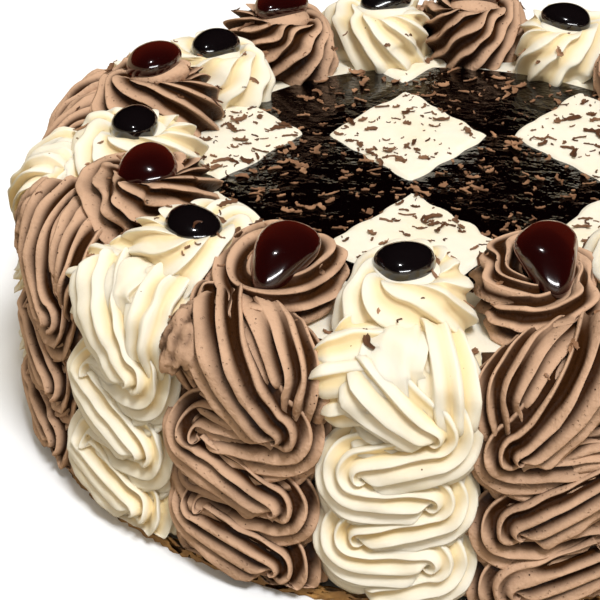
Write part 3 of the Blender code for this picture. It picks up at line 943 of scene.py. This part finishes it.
class CAKE_OT_jelly(bpy.types.Operator):
    """Glossy cherry jelly in a net of diamonds"""

    bl_idname = "cake.jelly"
    bl_label = "Cherry Jelly"

    def execute(self, context):
        sizes, colours = context.scene.cake_sizes, context.scene.cake_colours
        bm = bmesh.new()
        bmesh.ops.create_circle(bm, cap_ends=True, radius=sizes.jelly_radius, segments=160)
        bmesh.ops.translate(bm, vec=(0, 0, TOP_HEIGHT - 0.0006), verts=bm.verts[:])
        bmesh.ops.translate(bm, vec=(0, 0, 0.0006 + sizes.jelly_thickness),
                            verts=extruded(bm, bm.faces[:]))
        material, tree, shader = new_material("Cherry Jelly", colours.jelly, 0.10, {
            "Specular IOR Level": 0.2, "Coat Weight": 0.25, "Coat Roughness": 0.02})
        add_relief(tree, shader, add_noise(tree, 140.0, 3.0), 0.0016)
        piece = show("jelly_net", finished_mesh(bm, "jelly_net"), material,
                     ["cherry_jelly"])
        cutter = bpy.data.objects.new(
            "cutter", finished_mesh(white_diamond_cutters(sizes.jelly_thickness), "cutter"))
        context.scene.collection.objects.link(cutter)
        cut = piece.modifiers.new("White Diamonds", "BOOLEAN")
        cut.operation = "DIFFERENCE"
        cut.solver = "EXACT"
        cut.object = cutter
        edge = piece.modifiers.new("Rounded Edge", "BEVEL")
        edge.width = 0.0005
        edge.segments = 3
        edge.limit_method = "ANGLE"
        edge.angle_limit = math.radians(50)
        graph = context.evaluated_depsgraph_get()
        shaped = bpy.data.meshes.new_from_object(piece.evaluated_get(graph))
        piece.modifiers.clear()
        piece.data = shaped
        shaped.shade_smooth()
        shaped.set_sharp_from_angle(angle=math.radians(35))
        bpy.data.objects.remove(cutter)
        return {"FINISHED"}


class CAKE_OT_columns(bpy.types.Operator):
    """Columns of cream piped up the side in a zigzag"""

    bl_idname = "cake.columns"
    bl_label = "Columns"

    def execute(self, context):
        sizes = context.scene.cake_sizes
        for slot in range(PORTIONS):
            bm = column_backing(slot)
            for places, painted_shade in column_strands(slot, sizes):
                join_in(bm, swept(places, painted_shade))
            if not is_white(slot):
                join_in(bm, cream_lump(slot, -1 if slot in (17, 9, 13) else 1))
            show_cream("column", slot, bm)
        return {"FINISHED"}


class CAKE_OT_rosettes(bpy.types.Operator):
    """Piped rosettes that hold the cherries"""

    bl_idname = "cake.rosettes"
    bl_label = "Rosettes"

    def execute(self, context):
        for slot in range(PORTIONS):
            local = Matrix.Rotation(-slot_angle(slot), 4, "Z") @ cherry_frame(slot)[0]
            shift = (local.translation - Vector((CHERRY_RADIUS, 0, CHERRY_HEIGHT))) * 0.5
            shape = rope_rosette if slot in WOUND_ROSETTES else star_rosette
            places, painted_shade = shape(slot, shift.z)
            out, side = SHIFTED_ROSETTES.get(slot, (0.0, 0.0))
            places = places + np.array((shift.x + out, shift.y + side, 0.0))
            bm = swept(turned_to(slot, places), painted_shade)
            if slot not in WOUND_ROSETTES:
                join_in(bm, cherry_collar(slot))
            show_cream("rosette", slot, bm)
        return {"FINISHED"}


class CAKE_OT_cherries(bpy.types.Operator):
    """Glazed cherries, black on white cream and red on chocolate cream"""

    bl_idname = "cake.cherries"
    bl_label = "Cherries"

    def execute(self, context):
        colours = context.scene.cake_colours
        black = fruit_material("Black Cherry", colours.black_cherry)
        red = fruit_material("Red Cherry", colours.red_cherry, colours.red_painted_glow)
        for slot in range(PORTIONS):
            place, half = cherry_frame(slot)
            bm = bmesh.new()
            bmesh.ops.create_uvsphere(bm, u_segments=64, v_segments=36, radius=1.0)
            points = np.array([point.co for point in bm.verts])
            grow = 1 + 0.06 * unevenness(points, 2.4, 1500 + slot)
            loose = {1: 0.75, 17: 0.75}.get(slot, 0.0 if is_white(slot) else 0.3)
            for point, share in zip(bm.verts, grow):
                droop = loose * max(0.0, point.co.x) ** 1.5 * max(0.0, 0.5 - point.co.z)
                narrow = (1 - 0.14 * point.co.x) * (1.12 if loose == 0.3 else 1.04)
                point.co = Vector((half.y * (point.co.x * share + droop),
                                   half.x * point.co.y * share * narrow,
                                   half.z * (0.92 * point.co.z * min(share, 1.0) - 0.9 * droop)))
            bmesh.ops.transform(bm, matrix=place, verts=bm.verts[:])
            name = f"glazed_cherry_{slot + 1:02d}"
            show(name, finished_mesh(bm, name), black if is_white(slot) else red,
                 [f"cherry_{slot + 1:02d}"])
        return {"FINISHED"}


def add_shaving(bm, chance, place, normal, size, tone):
    """A thin curled shaving of chocolate that lies on a surface."""
    length = size * chance.uniform(0.6, 1.5)
    width = min(0.0021, length * chance.choice((0.16, 0.25, 0.38, 0.6)))
    bend = chance.choice((-1, 1)) * chance.uniform(0.3, 2.6)
    curl = chance.uniform(0.0, 1.0)
    made = bmesh.ops.create_grid(bm, x_segments=8, y_segments=2, size=0.5)["verts"]
    fray = {}
    for point in made:
        along, over = point.co.x, point.co.y
        arc = along * bend
        edge = fray.setdefault((round(along, 2), over > 0), chance.uniform(0.45, 1.25))
        taper = max(0.15, 1 - 1.6 * abs(along) ** 2.2) * edge
        reach = length / bend - over * width * taper
        lift = 0.30 * length * curl * (2 * along) ** 2 * 0.4 + chance.uniform(0, 0.00012)
        point.co = Vector((reach * math.sin(arc), reach * math.cos(arc) - length / bend,
                           lift + abs(over) * width * 0.5 * taper))
    faces = list({face for point in made for face in point.link_faces})
    thick = bmesh.ops.solidify(bm, geom=faces, thickness=0.00028)["geom"]
    points = set(made) | {part for part in thick if isinstance(part, bmesh.types.BMVert)}
    shade = bm.verts.layers.float["tone"]
    for point in points:
        point[shade] = tone
    lay = (Matrix.Translation(place) @ normal.to_track_quat("Z", "Y").to_matrix().to_4x4()
           @ Matrix.Rotation(chance.uniform(0, math.tau), 4, "Z")
           @ Matrix.Rotation(chance.uniform(-0.35, 0.35), 4, "X"))
    bmesh.ops.transform(bm, matrix=lay, verts=list(points))


class CAKE_OT_shavings(bpy.types.Operator):
    """Chocolate shavings strewn over the cake"""

    bl_idname = "cake.shavings"
    bl_label = "Shavings"

    def execute(self, context):
        sizes, colours = context.scene.cake_sizes, context.scene.cake_colours
        chance = random.Random(77)
        graph = context.evaluated_depsgraph_get()
        targets = [BVHTree.FromObject(o, graph) for o in context.scene.objects
                   if o.name.startswith(("piped_", "white_top", "jelly_net", "glazed_"))]
        bm = bmesh.new()
        bm.verts.layers.float.new("tone")
        laid = 0
        while laid < sizes.shavings:
            outer = laid > 0.77 * sizes.shavings
            reach = chance.uniform(0.078, 0.132) if outer else 0.080 * math.sqrt(chance.random())
            angle = chance.uniform(0, math.tau)
            start = Vector((reach * math.cos(angle), reach * math.sin(angle), 0.15))
            hits = [tree.ray_cast(start, Vector((0, 0, -1))) for tree in targets]
            hits = [hit for hit in hits if hit[0] is not None]
            if not hits:
                continue
            place, normal = max(hits, key=lambda hit: hit[0].z)[:2]
            if normal.z < 0.35 or place.z > 0.0945:
                continue
            on_jelly = not outer and inside_white(place) > 1
            if on_jelly and chance.random() < 0.35:
                continue
            add_shaving(bm, chance, place + normal * 0.00015, normal,
                        chance.choice((0.0012, 0.0016, 0.0022, 0.0028, 0.0035, 0.0048)),
                        chance.uniform(0.0, 0.5) + (0.5 if inside_white(place) > 1 else 0))
            laid += 1
        material, tree, shader = new_material("Shavings", colours.shaving, 0.5)
        tone = add_node(tree, "ShaderNodeAttribute", attribute_name="tone")
        both = add_math(tree, "MULTIPLY", add_noise(tree, 260.0), tone.outputs["Fac"])
        mixed = add_mix(tree, both, DARK_SHAVING, LIGHT_SHAVING)
        tree.links.new(mixed, shader.inputs["Base Color"])
        mesh = finished_mesh(bm, "shavings")
        mesh.set_sharp_from_angle(angle=math.radians(40))
        show("shavings", mesh, material)
        return {"FINISHED"}


def area_light(name, place, target, size, power):
    """A soft rectangular light that points at a place."""
    light = bpy.data.lights.new(name, "AREA")
    light.shape = "RECTANGLE"
    light.size, light.size_y = size
    light.energy = power
    lamp = bpy.data.objects.new(name, light)
    bpy.context.scene.collection.objects.link(lamp)
    lamp.location = place
    lamp.rotation_euler = (Vector(target) - Vector(place)).to_track_quat("-Z", "Y").to_euler()
    return lamp


class CAKE_OT_stage(bpy.types.Operator):
    """Camera, pale floor and soft light"""

    bl_idname = "cake.stage"
    bl_label = "Stage"

    def execute(self, context):
        settings = context.scene.cake_stage
        scene = context.scene
        bm = bmesh.new()
        bmesh.ops.create_grid(bm, x_segments=1, y_segments=1, size=4.0)
        floor = bpy.data.objects.new("floor", finished_mesh(bm, "floor"))
        scene.collection.objects.link(floor)
        material, tree, shader = new_material("Floor", FLOOR_SEEN, 0.6)
        seen = add_node(tree, "ShaderNodeLightPath").outputs["Is Camera Ray"]
        tree.links.new(add_mix(tree, seen, FLOOR_REFLECTED, FLOOR_SEEN),
                       shader.inputs["Base Color"])
        floor.data.materials.append(material)
        floor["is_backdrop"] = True
        world = bpy.data.worlds.new("Surroundings")
        world.use_nodes = True
        background = world.node_tree.nodes["Background"]
        background.inputs["Color"].default_value = (1.0, 0.90, 0.74, 1.0)
        background.inputs["Strength"].default_value = settings.surroundings
        world.cycles_visibility.glossy = False
        scene.world = world
        broad = bpy.data.lights.new("overhead", "SUN")
        broad.energy = settings.overhead
        broad.angle = math.radians(16)
        overhead = bpy.data.objects.new("overhead", broad)
        scene.collection.objects.link(overhead)
        overhead.rotation_euler = Vector((-0.26, 0.52, -1.0)).to_track_quat("-Z", "Y").to_euler()
        overhead.visible_glossy = False
        strip = area_light("front strip", (0.05, -1.3, 0.26), (0, 0, 0.07), (1.00, 0.08),
                           settings.front)
        key = area_light("key", (-0.45, -0.75, 1.15), (0, 0, 0.07), (0.16, 0.05),
                         settings.key)
        strip.visible_diffuse = key.visible_diffuse = False
        camera = bpy.data.cameras.new("camera")
        camera.lens = settings.lens
        camera.sensor_width = 36.0
        camera.clip_start, camera.clip_end = 0.01, 20.0
        viewer = bpy.data.objects.new("camera", camera)
        scene.collection.objects.link(viewer)
        pan, tilt = -0.0788, 0.5064
        forward = Vector((math.sin(pan) * math.cos(tilt), math.cos(pan) * math.cos(tilt),
                          -math.sin(tilt)))
        viewer.location = (0.0, -0.5908, 0.3529)
        viewer.rotation_euler = forward.to_track_quat("-Z", "Y").to_euler()
        scene.camera = viewer
        scene.view_settings.view_transform = "Standard"
        return {"FINISHED"}


class CAKE_PT_panel(bpy.types.Panel):
    """Lists the pieces of the cake"""

    bl_label = "Black Forest Cake"
    bl_idname = "CAKE_PT_panel"
    bl_space_type = "VIEW_3D"
    bl_region_type = "UI"
    bl_category = "Cake"

    def draw(self, context):
        for settings in ("cake_sizes", "cake_colours", "cake_stage"):
            group = getattr(context.scene, settings)
            for name in group.__annotations__:
                self.layout.prop(group, name)
        for operator in OPERATORS:
            self.layout.operator(operator.bl_idname)


SETTINGS = {"cake_sizes": CakeSizes, "cake_colours": CakeColours, "cake_stage": StageSettings}
OPERATORS = (CAKE_OT_sponge, CAKE_OT_top, CAKE_OT_jelly, CAKE_OT_columns, CAKE_OT_rosettes,
             CAKE_OT_cherries, CAKE_OT_shavings, CAKE_OT_stage)


def register():
    """Add the classes and settings."""
    for item in (*SETTINGS.values(), *OPERATORS, CAKE_PT_panel):
        bpy.utils.register_class(item)
    for name, kind in SETTINGS.items():
        setattr(bpy.types.Scene, name, PointerProperty(type=kind))


def unregister():
    """Take the classes and settings away."""
    for name in SETTINGS:
        delattr(bpy.types.Scene, name)
    for item in reversed((*SETTINGS.values(), *OPERATORS, CAKE_PT_panel)):
        bpy.utils.unregister_class(item)


def corners():
    """Lowest and highest corner of what is shown, as plain numbers."""
    return [[float(x) for x in corner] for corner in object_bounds()]


def main():
    """Build the whole cake."""
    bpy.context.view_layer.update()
    register()
    bpy.ops.cake.sponge()
    bpy.ops.cake.top()
    bpy.ops.cake.jelly()
    bpy.ops.cake.columns()
    bpy.ops.cake.rosettes()
    bpy.ops.cake.cherries()
    bpy.ops.cake.shavings()
    bpy.ops.cake.stage()
    bpy.context.view_layer.update()


if __name__ == "__main__":
    main()
